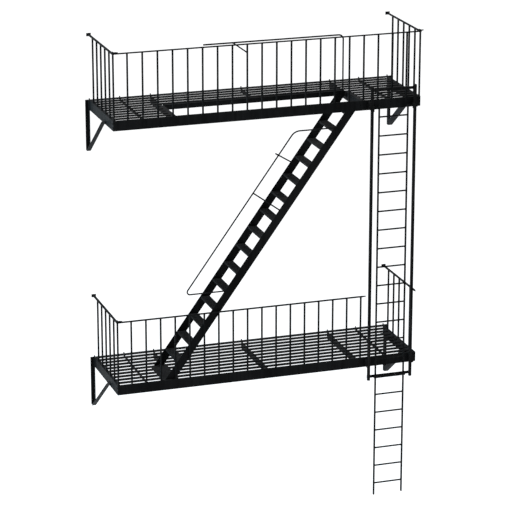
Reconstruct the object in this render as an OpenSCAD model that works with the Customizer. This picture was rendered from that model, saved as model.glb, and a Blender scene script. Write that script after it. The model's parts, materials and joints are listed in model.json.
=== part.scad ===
// Wall-hung fire escape: two balconies, the stair flight between them and a
// drop ladder that slides in a guide frame below the upper balcony.
// Millimetres. X runs along the wall, Y points into the wall, Z is up.
// Modules draw in a frame with the left end of the balconies at x = 0, the wall
// at y = 0 and the upper floor at z = 0. at_mount() then moves the origin to
// the middle of the wall face of the upper left bracket.

/* [Balconies] */
// Spacing of the railing bars, centre to centre
bay = 210; // [180:1:240]
// Railing bays along the front of a balcony
front_bays = 21; // [19:1:24]
// Railing bays along each end of a balcony
side_bays = 6; // [5:1:7]
// Height of the top rail above the floor
rail_h = 920; // [760:10:1120]
// Depth of the channels around a floor
channel_h = 140; // [115:1:175]
// Plate thickness of channels and joists
plate_t = 8; // [6:1:10]
// Width of the front channel's flanges
front_flange = 30; // [26:1:36]
// Width of the side channels' flanges
side_flange = 45; // [40:1:55]
// Width of the ledge along the wall
ledge_w = 60; // [50:1:72]
// Width of a floor slat
slat_w = 60; // [50:1:70]
// Thickness of the floor slats and of the ledge
slat_t = 14; // [12:1:17]
// Floor slats across a balcony
slat_count = 9; // [7:1:10]
// Depth of the joists under the slats
joist_h = 110; // [92:1:130]
// Depth of the light cross bars near the ends of a floor
light_bar_h = 40; // [34:1:48]
// Distance from each end of a balcony to its light cross bar
light_bar_inset = 441; // [368:1:529]
// Distance from each end of a balcony to its outer joists and the stair well
well_inset = 882; // [800:1:960]
// Width of the cap strips over the joists beside the stair well
cap_w = 58; // [48:1:68]
// Drop of the header along the stair well
header_h = 70; // [58:1:84]
// Width of the header's top flange
header_flange = 30; // [25:1:36]
// Width of the lugs along the wall
lug_w = 16; // [13:1:19]
// Height of the lugs above the floor
lug_h = 18; // [15:1:21]

/* [Railings] */
// Side of a square railing bar
bar_w = 21; // [18:1:24]
// Width of a flat top rail
rail_w = 30; // [26:1:34]
// Thickness of a flat top rail
rail_t = 14; // [12:1:17]
// Length of the pointed end of a rail
rail_tip = 55; // [46:1:66]
// Reach of the strap that laps one top rail over the other at a corner
strap_reach = 40; // [34:1:48]
// Point of the upper right corner's strap beyond the end of the balcony
strap_tip = 34; // [28:1:40]
// Thickness of the corner straps
strap_t = 14; // [12:1:17]
// Width of the plate that ties a side rail to the wall
wall_plate_w = 64; // [54:1:76]
// Height of the plate that ties a side rail to the wall
wall_plate_h = 44; // [37:1:53]
// Railing bays left open for the drop ladder
ladder_bays = 4; // [4:1:5]

/* [Wall brackets] */
// Width of a leg's flange on the wall
leg_w = 52; // [46:1:62]
// Height of a leg, from the floor down
leg_len = 715; // [640:1:860]
// Width of the leg's web and of both flanges of the brace
angle_w = 60; // [50:1:72]
// Thickness of the bracket angles
angle_t = 8; // [7:1:10]
// Distance from the wall at which the brace meets the side channel
brace_reach = 830; // [700:1:980]
// Lap of the brace over the outside of the side channel
brace_lap = 50; // [42:1:60]
// Diameter of the wall bolt holes
wall_bolt_d = 18; // [15:1:22]
// Drop of the upper wall bolt below the floor
wall_bolt_drop = 200; // [180:1:240]
// Vertical distance between the two wall bolts of a leg
wall_bolt_pitch = 320; // [267:1:360]

/* [Stair] */
// Treads in the flight
tread_count = 15; // [12:1:15]
// Rise from tread to tread
riser = 240; // [225:1:250]
// Rise from the top tread to the upper floor
last_rise = 160; // [140:1:192]
// Horizontal step from tread to tread
going = 174; // [150:1:190]
// Depth of a stringer plate, square to the slope
stringer_h = 118; // [110:1:142]
// Thickness of a stringer plate
stringer_t = 8; // [6:1:10]
// Width of the stair over its stringers
stair_w = 590; // [500:1:600]
// Clearance between the stair and the steel around its well
stair_gap = 6; // [5:1:7]
// Front to back depth of a tread
tread_d = 130; // [110:1:140]
// Height of the turned-down edges of a tread
tread_h = 25; // [20:1:30]
// Plate thickness of a tread
tread_t = 5; // [4:1:6]
// Cut at the upper corner of a stringer's top end
stringer_chamfer = 24; // [20:1:29]
// Side of the angles that fix the stair's top and feet
cleat_w = 60; // [50:1:72]
// Thickness of those angles
cleat_t = 6; // [5:1:8]
// Part of the landing that reaches beyond the stair's foot
landing_lead = 46; // [38:1:56]

/* [Stair handrail] */
// Diameter of the handrail bar
hand_d = 20; // [17:1:24]
// Distance of the handrail from the stringer's upper edge, square to the slope
hand_off = 470; // [392:1:564]
// Drop of the upper arm below the upper floor
hand_top = 362; // [302:1:420]
// Drop of the lower arm below the upper floor
hand_bottom = 2560; // [2200:1:2700]
// Bend radius at the upper end of the handrail
hand_top_r = 150; // [125:1:180]
// Bend radius at the lower end of the handrail
hand_bottom_r = 40; // [34:1:48]
// Drop of the rail's strut below the upper floor, measured at the stringer
strut_drop = 1465; // [1300:1:1700]
// Drop of the cross tie below the upper floor, measured at the stringer
tie_drop = 960; // [800:1:1150]
// Length of the cross tie that passes beyond the rail
tie_over = 70; // [58:1:84]

/* [Well guard] */
// Diameter of the guard bar over the stair well
guard_d = 22; // [18:1:26]
// Height of the guard bar above the floor
guard_h = 795; // [663:1:900]
// Bend radius of the guard bar
guard_r = 70; // [58:1:84]
// Bays between the left end and the guard bar's open end
guard_start = 7; // [6:1:8]
// Railing bar that the guard's tie reaches to
tie_bar = 9; // [9:1:11]

/* [Guide frame] */
// Width of the guide frame over its posts
guide_w = 667; // [556:1:700]
// Side of a square guide post
post_w = 36; // [32:1:43]
// Distance from the front channel to the back of a guide post
guide_stand = 40; // [34:1:48]
// Length of a post beyond the middle of the clips
guide_over = 258; // [215:1:310]
// Height of the flat crossbars
cross_h = 40; // [34:1:48]
// Thickness of the flat crossbars
cross_t = 8; // [7:1:10]
// Distance from a post's end to the middle of the crossbar
cross_inset = 48; // [40:1:58]
// Height of a clip
clip_h = 115; // [96:1:135]
// Width of a clip
clip_w = 30; // [25:1:36]

/* [Drop ladder] */
// Spacing of the ladder's stiles, centre to centre
stile_gauge = 424; // [354:1:430]
// Width of a stile along the wall
stile_w = 20; // [17:1:24]
// Depth of a stile away from the wall
stile_d = 24; // [20:1:25]
// Number of rungs
rung_count = 21; // [18:1:22]
// Spacing of the rungs
rung_pitch = 272; // [227:1:280]
// Diameter of a rung
rung_d = 23; // [19:1:24]
// Distance from the sliding arms down to the first rung
first_rung = 124; // [104:1:149]
// Length of the stiles above the arms
stile_head = 24; // [20:1:29]
// Length of the stiles below the last rung
stile_foot = 180; // [150:1:216]
// Height of a sliding arm
arm_h = 20; // [17:1:24]
// Depth of a sliding arm
arm_d = 12; // [10:1:14]
// Height of a sliding shoe
shoe_h = 80; // [67:1:96]
// Wall thickness of a sliding shoe
shoe_t = 6; // [5:1:7]
// Running gap between a shoe and its post
shoe_gap = 0.8; // [0.6:0.1:1]
// Drop of the sliding arms below the upper floor with the ladder raised
arm_drop = 112; // [94:1:134]
// Clearance of the ladder in its keeper
keeper_gap = 6; // [5:1:8]

/* [Hidden] */
$fn = 48;
iron = "#1c1e20";
iron_light = "#2a2e31";
join = 0.3;                                   // seat between round pieces

// Balconies
length = front_bays * bay;
depth = side_bays * bay;
storey = tread_count * riser + last_rise;
floor_lo = -storey;
slat_gap = (depth - front_flange - ledge_w - slat_count * slat_w) / (slat_count + 1);
slat_step = slat_w + slat_gap;
bar_line = front_flange / 2;                  // railing bars stand on this line
side_bar_line = rail_w / 2;

// Stair and its well
slope = atan2(riser, going);
edge_w = stringer_h / sin(slope);             // stringer measured along the floor
well_left = well_inset;
well_right = length - well_inset;
stair_top = well_right - plate_t / 2 - stair_gap - stringer_h * sin(slope);
stair_foot = stair_top - storey / tan(slope);
stair_front = -depth + front_flange + stair_gap;
stair_back = stair_front + stair_w;
header_y = stair_back + stair_gap;
rear_slats = floor((-header_y - ledge_w - header_flange) / slat_step);
landing_slats = ceil((depth + stair_back - front_flange - slat_w) / slat_step);

// Handrail
rail_dx = hand_off / sin(slope);
hand_y = stair_front + stringer_t / 2;

// Guide frame and ladder
guide_x = length - ladder_bays * bay / 2;
post_x = (guide_w - post_w) / 2;
post_back = -depth - guide_stand;
post_mid = post_back - post_w / 2;
clip_z = -channel_h / 2;
post_top = clip_z + guide_over;
post_foot = clip_z - storey - guide_over;
cross_lo = post_foot + cross_inset;
ladder_x = stile_gauge / 2;
rung_len = stile_gauge - stile_w;

function edge_x(z) = stair_top + z / tan(slope);    // upper edge of the stringers
function slat_y(k) = -ledge_w - k * slat_step;      // rear edge line of slat k, from 1
function joist_line() = [light_bar_inset, well_left, length / 2, well_right,
                         length - light_bar_inset];

// ---- shared helpers ----

// Moves the origin to the wall face of the upper left bracket's leg
module at_mount() {
    translate([leg_w / 2, 0, leg_len / 2]) children();
}

// Box between two corners
module block(a, b) {
    translate(a) cube(b - a);
}

// Round bar between two points of one X-Z plane
module rod(a, b, d) {
    run = b - a;
    translate(a) rotate([0, atan2(norm([run.x, run.y]), run.z), atan2(run.y, run.x)])
        cylinder(d = d, h = norm(run));
}

// Round bend in the X-Z plane at depth y, from angle a0 over sweep degrees
module bend(x, y, z, r, d, a0, sweep) {
    translate([x, y, z]) rotate([90, 0, 0]) rotate([0, 0, a0])
        rotate_extrude(angle = sweep) translate([r, 0]) circle(d = d);
}

// Plate in an X-Z plane whose wall side is at y
module upright(y, t) {
    translate([0, y, 0]) rotate([90, 0, 0]) linear_extrude(t) children();
}

module on_lower_floor() {
    translate([0, 0, floor_lo]) children();
}

// Copies children to the far end of a balcony as a mirror image
module far_end() {
    translate([length, 0, 0]) mirror([1, 0, 0]) children();
}

// ---- balcony frame ----

// Channel across the front, open towards the wall
module front_channel() {
    block([0, -depth, -channel_h], [length, -depth + plate_t, 0]);
    for (z = [-plate_t, -channel_h])
        block([0, -depth, z], [length, -depth + front_flange, z + plate_t]);
}

// Channel along the left end, its web coped into the front channel
module side_channel() {
    flange_start = -depth + front_flange;
    block([0, flange_start, -channel_h], [plate_t, 0, 0]);
    block([0, -depth + plate_t, -channel_h + plate_t], [plate_t, flange_start, -plate_t]);
    for (z = [-plate_t, -channel_h])
        block([0, flange_start, z], [side_flange, 0, z + plate_t]);
    lug(lug_w / 2);
}

module lug(x) {
    block([x - lug_w / 2, -plate_t, 0], [x + lug_w / 2, 0, lug_h]);
}

// Flat bar along the wall, with lugs turned up at the joists
module wall_ledge() {
    block([side_flange, -ledge_w, -slat_t], [length - side_flange, 0, 0]);
    for (x = joist_line())
        lug(x);
}

module joist(x, h, y_front) {
    block([x - plate_t / 2, y_front, -slat_t - h], [x + plate_t / 2, 0, -slat_t]);
}

module joists(middle_h, middle_front) {
    front = -depth + plate_t;
    for (x = [light_bar_inset, length - light_bar_inset])
        joist(x, light_bar_h, front);
    for (x = [well_left, well_right])
        joist(x, joist_h, front);
    joist(length / 2, middle_h, middle_front);
}

// Floor slats first to last, counted from the wall
module slats(first, last, x0, x1) {
    for (k = [first : last])
        block([x0, slat_y(k), -slat_t], [x1, slat_y(k) + slat_w, 0]);
}

module well_header() {
    x0 = well_left + plate_t / 2;
    x1 = well_right - plate_t / 2;
    block([x0, header_y, -header_h], [x1, header_y + plate_t, 0]);
    block([x0, header_y, -plate_t], [x1, header_y + header_flange, 0]);
}

// Strip that closes the floor beside the well, over the joist
module well_cap() {
    block([well_left + plate_t / 2 - cap_w, -depth + front_flange, -slat_t],
          [well_left + plate_t / 2, header_y, 0]);
}

// ---- railings ----

module post_bar(x, y) {
    translate([x - bar_w / 2, y - bar_w / 2, 0]) cube([bar_w, bar_w, rail_h - rail_t]);
}

// Flat rail along X that ends in a point
module pointed_rail(x0, x1, y, w) {
    translate([0, 0, rail_h - rail_t]) linear_extrude(rail_t)
        polygon([[x0, y - w / 2], [x1, y - w / 2], [x1 + rail_tip, y], [x1, y + w / 2],
                 [x0, y + w / 2]]);
}

module front_railing(bays, closed) {
    for (k = [0 : bays]) {
        end_shift = k == 0 ? side_bar_line : k == front_bays ? -side_bar_line : 0;
        post_bar(k * bay + end_shift, -depth + bar_line);
    }
    if (closed)
        block([0, -depth, rail_h - rail_t], [length, -depth + rail_w, rail_h]);
    else
        pointed_rail(0, bays * bay + bar_w, -depth + rail_w / 2, rail_w);
}

// Railing of the left end: bars, top rail, corner strap and wall plate
module side_railing() {
    for (k = [1 : side_bays - 1])
        post_bar(side_bar_line, -k * bay);
    block([0, -depth + rail_w, rail_h - rail_t], [rail_w, -plate_t, rail_h]);
    wall_plate();
}

module wall_plate() {
    block([side_bar_line - wall_plate_w / 2, -plate_t, rail_h - rail_t / 2 - wall_plate_h / 2],
          [side_bar_line + wall_plate_w / 2, 0, rail_h - rail_t / 2 + wall_plate_h / 2]);
}

// Strap on top of the left corner, pointed along the front rail
module corner_strap() {
    reach = side_bar_line + strap_reach;
    translate([0, 0, rail_h]) linear_extrude(strap_t)
        polygon([[0, -depth], [reach, -depth], [reach + rail_w, -depth + rail_w / 2],
                 [reach, -depth + rail_w], [rail_w, -depth + rail_w],
                 [rail_w, -depth + rail_w + strap_reach], [0, -depth + rail_w + strap_reach]]);
}

// Strap on top of a far corner, drawn mirrored, its point past the balcony's end
module outward_strap() {
    translate([0, 0, rail_h]) linear_extrude(strap_t)
        polygon([[rail_w, -depth], [rail_w, -depth + rail_w + strap_reach],
                 [0, -depth + rail_w + strap_reach], [0, -depth + rail_w],
                 [-strap_tip, -depth + rail_w / 2], [0, -depth]]);
}

// Left end railing of the open corner: the rail runs on to a point
module open_side_railing() {
    for (k = [1 : side_bays - 1])
        post_bar(side_bar_line, -k * bay);
    translate([0, 0, rail_h - rail_t]) linear_extrude(rail_t)
        polygon([[0, -plate_t], [rail_w, -plate_t], [rail_w, -depth + rail_tip],
                 [rail_w / 2, -depth], [0, -depth + rail_tip]]);
    wall_plate();
}

// ---- wall bracket ----

// Strip of the brace in its Y-Z plane, d deep, measured up from the lower edge
module brace_strip(d) {
    top = brace_lap - channel_h;
    tilt = atan2(leg_len - channel_h, brace_reach - angle_w);
    top_reach = brace_reach + brace_lap / tan(tilt);
    polygon([[angle_w, -leg_len], [angle_w, -leg_len + d / cos(tilt)],
             [top_reach - d / sin(tilt), top], [top_reach, top]]);
}

// Angle leg on the wall and angle brace up to the outside of the side channel
module bracket() {
    difference() {
        block([-leg_w, -angle_t, -leg_len], [0, 0, 0]);
        for (z = [-wall_bolt_drop, -wall_bolt_drop - wall_bolt_pitch])
            translate([-(leg_w + angle_t) / 2, 1, z]) rotate([90, 0, 0])
                cylinder(d = wall_bolt_d, h = angle_t + 2);
    }
    block([-angle_t, -angle_w, -leg_len], [0, 0, 0]);
    rotate([90, 0, -90]) linear_extrude(angle_t) brace_strip(angle_w);
    rotate([90, 0, -90]) linear_extrude(angle_w) brace_strip(angle_t);
}

// ---- well guard ----

guard_y = header_y + header_flange / 2;
guard_x = well_right - plate_t / 2 - guard_d;

module well_guard_rail() {
    rod([guard_start * bay, guard_y, guard_h], [guard_x - guard_r, guard_y, guard_h], guard_d);
}

module well_guard_leg() {
    bend(guard_x - guard_r, guard_y, guard_h - guard_r, guard_r, guard_d, 0, 90);
    rod([guard_x, guard_y, 0], [guard_x, guard_y, guard_h - guard_r], guard_d);
}

module well_guard_tie() {
    rod([tie_bar * bay, -depth + bar_line + bar_w / 2, guard_h],
        [tie_bar * bay, guard_y - guard_d / 2 - join, guard_h], hand_d);
}

// ---- stair ----

module stringer() {
    c = stringer_chamfer;
    polygon([[stair_foot, floor_lo], [stair_foot + edge_w, floor_lo],
             [stair_top + stringer_h * sin(slope), -stringer_h * cos(slope)],
             [stair_top + c * sin(slope), -c * cos(slope)],
             [stair_top - c * cos(slope), -c * sin(slope)]]);
}

// Tread with turned-down edges, open underneath
module tread(k) {
    x = stair_foot + k * going;
    z = floor_lo + k * riser;
    y0 = stair_front + stringer_t;
    y1 = stair_back - stringer_t;
    block([x, y0, z - tread_t], [x + tread_d, y1, z]);
    for (edge = [0, tread_d - tread_t])
        block([x + edge, y0, z - tread_h], [x + edge + tread_t, y1, z]);
}

// Angle in the corner between a stringer and the joist, drawn for side +1 or -1
module top_cleat(face_y, side) {
    x = well_right - plate_t / 2;
    z1 = -plate_t - cleat_t;
    z0 = z1 - cleat_w;
    block([x - cleat_w - stair_gap, min(face_y, face_y + side * cleat_t), z0],
          [x, max(face_y, face_y + side * cleat_t), z1]);
    block([x - cleat_t, min(face_y, face_y + side * cleat_w), z0],
          [x, max(face_y, face_y + side * cleat_w), z1]);
}

module foot_cleat(face_y, side) {
    x0 = stair_foot + edge_w / 2 - cleat_w / 2;
    block([x0, min(face_y, face_y + side * cleat_t), floor_lo],
          [x0 + cleat_w, max(face_y, face_y + side * cleat_t), floor_lo + cleat_w]);
    block([x0, min(face_y, face_y + side * cleat_w), floor_lo],
          [x0 + cleat_w, max(face_y, face_y + side * cleat_w), floor_lo + cleat_t]);
}

// ---- stair handrail ----

hand_in = hand_top_r * tan(slope / 2);                 // tangent length, upper bend
hand_turn = 180 - slope;                               // turn of the lower bend
hand_lo_in = hand_bottom_r * tan(hand_turn / 2);
along = [cos(slope), 0, sin(slope)];

function hand_at(z) = [edge_x(z) - rail_dx, hand_y, z];

// Everything on and below the upper edge of the stringers
module below_edge() {
    translate([stair_top, hand_y - bay / 2, 0]) rotate([0, -slope, 0])
        translate([-2 * storey, 0, -bay]) cube([4 * storey, bay, bay]);
}

module handrail_run() {
    rod(hand_at(-hand_bottom) + hand_lo_in * along, hand_at(-hand_top) - hand_in * along, hand_d);
}

module handrail_upper_arm() {
    knee = hand_at(-hand_top);
    translate(knee) {
        bend(hand_in, 0, -hand_top_r, hand_top_r, hand_d, 90, slope);
        difference() {
            rod([hand_in, 0, 0], [rail_dx + hand_d, 0, 0], hand_d);
            translate(-knee) below_edge();
        }
    }
}

module handrail_lower_arm() {
    knee = hand_at(-hand_bottom);
    translate(knee) {
        translate([hand_lo_in, 0, hand_bottom_r]) mirror([1, 0, 0])
            bend(0, 0, 0, hand_bottom_r, hand_d, 270, hand_turn);
        difference() {
            rod([hand_lo_in, 0, 0], [rail_dx + hand_d, 0, 0], hand_d);
            translate(-knee) below_edge();
        }
    }
}

module handrail_strut() {
    foot = [edge_x(-strut_drop), hand_y, -strut_drop];
    out = [-sin(slope), 0, cos(slope)];
    rod(foot, foot + (hand_off - hand_d / 2 - join) * out, hand_d);
}

// Tie from the inner stringer's upper edge up across the handrail's outer side
module handrail_tie() {
    foot = [edge_x(-tie_drop), stair_back - stringer_t / 2, -tie_drop];
    across = foot.y - hand_y;
    seat = (hand_d + join) * norm([across, hand_off + hand_d]) / across;
    top = hand_at(-tie_drop + hand_off * cos(slope)) + seat * [-sin(slope), 0, cos(slope)];
    reach = top - foot;
    difference() {
        rod(foot, top + tie_over * reach / norm(reach), hand_d);
        translate([0, stair_w, 0]) below_edge();
    }
}

// ---- guide frame ----

module guide_post() {
    block([-post_w / 2, post_back - post_w, post_foot], [post_w / 2, post_back, post_top]);
}

// Flat bar on the back of the posts
module crossbar(z) {
    block([guide_x - guide_w / 2, post_back, z - cross_h / 2],
          [guide_x + guide_w / 2, post_back + cross_t, z + cross_h / 2]);
}

// Strap in front of the ladder that holds it to the bottom crossbar
module ladder_keeper() {
    inner = ladder_x + stile_w / 2 + keeper_gap;
    inside = post_mid - stile_d / 2 - keeper_gap;
    z0 = cross_lo - cross_h / 2;
    z1 = cross_lo + cross_h / 2;
    block([guide_x - inner - cross_t, inside - cross_t, z0],
          [guide_x + inner + cross_t, inside, z1]);
    for (x = [-inner - cross_t, inner])
        block([guide_x + x, inside - cross_t, z0], [guide_x + x + cross_t, post_back, z1]);
}

// Clip from the outside of the right post back to the channel
module guide_clip() {
    cut = clip_w / 2;
    x0 = guide_w / 2;
    translate([guide_x, 0, clip_z]) upright(-depth, guide_stand + post_w)
        polygon([[x0, -clip_h / 2], [x0 + clip_w - cut, -clip_h / 2],
                 [x0 + clip_w, -clip_h / 2 + cut], [x0 + clip_w, clip_h / 2 - cut],
                 [x0 + clip_w - cut, clip_h / 2], [x0, clip_h / 2]]);
}

module guide_clips() {
    guide_clip();
    translate([2 * guide_x, 0, 0]) mirror([1, 0, 0]) guide_clip();
}

// ---- drop ladder, drawn raised ----

module stile() {
    foot = -arm_drop - first_rung - (rung_count - 1) * rung_pitch - stile_foot;
    block([-stile_w / 2, post_mid - stile_d / 2, foot],
          [stile_w / 2, post_mid + stile_d / 2, -arm_drop + stile_head]);
}

module ladder_rungs() {
    for (k = [0 : rung_count - 1])
        translate([guide_x - rung_len / 2, post_mid, -arm_drop - first_rung - k * rung_pitch])
            rotate([0, 90, 0]) cylinder(d = rung_d, h = rung_len);
}

shoe_in = post_x - post_w / 2 - shoe_gap - shoe_t;      // inner face of a shoe

module ladder_arms() {
    for (s = [-1, 1]) {
        x0 = ladder_x + stile_w / 2;
        block([guide_x + min(s * x0, s * shoe_in), post_mid - arm_d / 2, -arm_drop - arm_h / 2],
              [guide_x + max(s * x0, s * shoe_in), post_mid + arm_d / 2, -arm_drop + arm_h / 2]);
    }
}

// U-shaped shoe on the right post, open to the outside where the clips pass
module shoe() {
    reach = post_x + post_w / 4;
    half = post_w / 2 + shoe_gap;
    translate([guide_x, post_mid, -arm_drop - shoe_h / 2]) difference() {
        block([shoe_in, -half - shoe_t, 0], [reach, half + shoe_t, shoe_h]);
        block([shoe_in + shoe_t, -half, -1], [reach + 1, half, shoe_h + 1]);
    }
}

// ---- the nodes ----

module upper_front_channel() color(iron) at_mount() front_channel();
module upper_left_channel() color(iron_light) at_mount() side_channel();
module upper_right_channel() color(iron_light) at_mount() far_end() side_channel();
module upper_wall_ledge() color(iron) at_mount() wall_ledge();
module upper_joists() color(iron) at_mount() joists(header_h - slat_t, header_y + plate_t);
module well_header_bar() color(iron) at_mount() well_header();
module well_caps() color(iron) at_mount() {
    well_cap();
    far_end() well_cap();
}
module upper_rear_slats() color(iron)
    at_mount() slats(1, rear_slats, side_flange, length - side_flange);
module upper_left_slats() color(iron)
    at_mount() slats(rear_slats + 1, slat_count, side_flange, well_left + plate_t / 2 - cap_w);
module upper_right_slats() color(iron)
    at_mount() slats(rear_slats + 1, slat_count, well_right - plate_t / 2 + cap_w,
                     length - side_flange);
module upper_front_railing() color(iron) at_mount() front_railing(front_bays, true);
module upper_left_railing() color(iron_light) at_mount() {
    side_railing();
    corner_strap();
}
module upper_right_railing() color(iron_light) at_mount() far_end() {
    side_railing();
    outward_strap();
}
module upper_left_bracket() color(iron) at_mount() bracket();
module upper_right_bracket() color(iron) at_mount() far_end() bracket();
module guard_rail() color(iron) at_mount() well_guard_rail();
module guard_leg() color(iron) at_mount() well_guard_leg();
module guard_tie() color(iron) at_mount() well_guard_tie();

module lower_front_channel() color(iron) at_mount() on_lower_floor() front_channel();
module lower_left_channel() color(iron_light) at_mount() on_lower_floor() side_channel();
module lower_right_channel() color(iron_light)
    at_mount() on_lower_floor() far_end() side_channel();
module lower_wall_ledge() color(iron) at_mount() on_lower_floor() wall_ledge();
module lower_joists() color(iron) at_mount() on_lower_floor() joists(joist_h, -depth + plate_t);
module lower_slats() color(iron)
    at_mount() on_lower_floor() slats(1, slat_count, side_flange, length - side_flange);
module landing_fillers() color(iron) at_mount() on_lower_floor()
    for (k = [slat_count - landing_slats + 1 : slat_count]) {
        y0 = slat_y(k) - slat_gap;
        block([stair_foot - landing_lead, y0, -slat_t],
              [well_left + plate_t / 2, y0 + slat_gap, 0]);
    }
module lower_front_railing() color(iron)
    at_mount() on_lower_floor() front_railing(front_bays - ladder_bays, false);
module lower_left_railing() color(iron_light) at_mount() on_lower_floor() {
    side_railing();
    corner_strap();
}
module lower_right_railing() color(iron_light)
    at_mount() on_lower_floor() far_end() open_side_railing();
module lower_left_bracket() color(iron) at_mount() on_lower_floor() bracket();
module lower_right_bracket() color(iron) at_mount() on_lower_floor() far_end() bracket();

module outer_stringer() color(iron) at_mount()
    upright(stair_front + stringer_t, stringer_t) stringer();
module inner_stringer() color(iron) at_mount() upright(stair_back, stringer_t) stringer();
module stair_treads() color(iron_light) at_mount() for (k = [1 : tread_count]) tread(k);
module stair_top_cleats() color(iron) at_mount() {
    top_cleat(stair_front + stringer_t, 1);
    top_cleat(stair_back - stringer_t, -1);
}
module stair_foot_cleats() color(iron) at_mount() {
    foot_cleat(stair_front + stringer_t, 1);
    foot_cleat(stair_back - stringer_t, -1);
}
module handrail_run_bar() color(iron) at_mount() handrail_run();
module handrail_upper_arm_bar() color(iron) at_mount() handrail_upper_arm();
module handrail_lower_arm_bar() color(iron) at_mount() handrail_lower_arm();
module handrail_strut_bar() color(iron) at_mount() handrail_strut();
module handrail_tie_bar() color(iron) at_mount() handrail_tie();

module guide_left_post() color(iron) at_mount() translate([guide_x - post_x, 0, 0]) guide_post();
module guide_right_post() color(iron) at_mount() translate([guide_x + post_x, 0, 0]) guide_post();
module guide_top_crossbar() color(iron) at_mount() crossbar(post_top - cross_inset);
module guide_bottom_crossbar() color(iron) at_mount() crossbar(cross_lo);
module keeper() color(iron) at_mount() ladder_keeper();
module upper_guide_clips() color(iron_light) at_mount() guide_clips();
module lower_guide_clips() color(iron_light) at_mount() on_lower_floor() guide_clips();

module ladder_left_stile() color(iron) at_mount() translate([guide_x - ladder_x, 0, 0]) stile();
module ladder_right_stile() color(iron) at_mount() translate([guide_x + ladder_x, 0, 0]) stile();
module rungs() color(iron) at_mount() ladder_rungs();
module arms() color(iron) at_mount() ladder_arms();
module ladder_left_shoe() color(iron_light)
    at_mount() translate([2 * guide_x, 0, 0]) mirror([1, 0, 0]) shoe();
module ladder_right_shoe() color(iron_light) at_mount() shoe();

upper_front_channel();
upper_left_channel();
upper_right_channel();
upper_wall_ledge();
upper_joists();
well_header_bar();  // well_header
well_caps();
upper_rear_slats();
upper_left_slats();
upper_right_slats();
upper_front_railing();
upper_left_railing();
upper_right_railing();
upper_left_bracket();
upper_right_bracket();
guard_rail();  // well_guard_rail
guard_leg();  // well_guard_leg
guard_tie();  // well_guard_tie
lower_front_channel();
lower_left_channel();
lower_right_channel();
lower_wall_ledge();
lower_joists();
lower_slats();
landing_fillers();
lower_front_railing();
lower_left_railing();
lower_right_railing();
lower_left_bracket();
lower_right_bracket();
outer_stringer();
inner_stringer();
stair_treads();
stair_top_cleats();
stair_foot_cleats();
handrail_run_bar();  // handrail_run
handrail_upper_arm_bar();  // handrail_upper_arm
handrail_lower_arm_bar();  // handrail_lower_arm
handrail_strut_bar();  // handrail_strut
handrail_tie_bar();  // handrail_tie
guide_left_post();
guide_right_post();
guide_top_crossbar();
guide_bottom_crossbar();
keeper();  // ladder_keeper
upper_guide_clips();
lower_guide_clips();
ladder_left_stile();
ladder_right_stile();
rungs();  // ladder_rungs
arms();  // ladder_arms
ladder_left_shoe();
ladder_right_shoe();
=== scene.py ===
"""Looks of the fire escape: paint, bolts, rivets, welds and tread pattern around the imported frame."""

import json
import math
import random

import bpy
from mathutils import Matrix, Vector


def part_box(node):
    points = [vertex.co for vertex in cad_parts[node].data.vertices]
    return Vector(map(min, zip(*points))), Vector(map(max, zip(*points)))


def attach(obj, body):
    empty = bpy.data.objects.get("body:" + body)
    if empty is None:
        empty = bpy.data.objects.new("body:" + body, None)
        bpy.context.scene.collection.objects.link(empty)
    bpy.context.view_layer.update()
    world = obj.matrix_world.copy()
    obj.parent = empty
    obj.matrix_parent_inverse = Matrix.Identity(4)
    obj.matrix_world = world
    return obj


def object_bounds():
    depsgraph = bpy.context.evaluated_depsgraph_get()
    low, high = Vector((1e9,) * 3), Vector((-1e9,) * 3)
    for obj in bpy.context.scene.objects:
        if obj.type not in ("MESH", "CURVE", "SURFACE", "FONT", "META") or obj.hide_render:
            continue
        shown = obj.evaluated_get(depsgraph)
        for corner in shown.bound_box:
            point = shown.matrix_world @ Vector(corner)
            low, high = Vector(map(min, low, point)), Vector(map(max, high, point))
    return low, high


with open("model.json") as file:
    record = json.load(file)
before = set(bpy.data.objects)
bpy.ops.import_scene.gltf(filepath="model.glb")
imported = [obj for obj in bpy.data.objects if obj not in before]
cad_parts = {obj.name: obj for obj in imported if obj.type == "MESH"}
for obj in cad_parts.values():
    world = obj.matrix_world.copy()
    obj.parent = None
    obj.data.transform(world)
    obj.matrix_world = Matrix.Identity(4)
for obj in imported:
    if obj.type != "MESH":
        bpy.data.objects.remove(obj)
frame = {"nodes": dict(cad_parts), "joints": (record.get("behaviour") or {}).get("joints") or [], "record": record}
cad_low, cad_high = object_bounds()

X, Y, Z = Vector((1, 0, 0)), Vector((0, 1, 0)), Vector((0, 0, 1))
BODY, LADDER = "frame", "drop_ladder"


# ---- sizes of the steelwork in metres, as in the part's source; the rest comes from the nodes' boxes ----

FRONT_BAYS = 21                 # bays of a whole front railing
SIDE_BAYS = 6                   # bays of a side railing
LADDER_BAYS = 4                 # bays left open for the drop ladder
BAR_W = 0.021                   # side of a square railing bar
RAIL_W = 0.030                  # flat top rail
RAIL_T = 0.014
STRAP_T = 0.014                 # corner straps on the top rails

PLATE_T = 0.008                 # lugs and wall plates
FLANGE_W = 0.030                # flanges of the front channel
SIDE_FLANGE_W = 0.045           # flanges of the side channels
JOIST_H = 0.110
LIGHT_BAR_H = 0.040             # light cross bars near the ends of a floor
LIGHT_BAR_INSET = 0.441         # from each end of a balcony to its light cross bar
WELL_INSET = 0.882              # from each end of a balcony to its outer joist
SLAT_W = 0.060
SLAT_T = 0.014
SLAT_COUNT = 9
REAR_SLATS = 4                  # slats between the wall and the stair well
LUG_W = 0.016                   # lugs along the wall
LUG_H = 0.018

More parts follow.
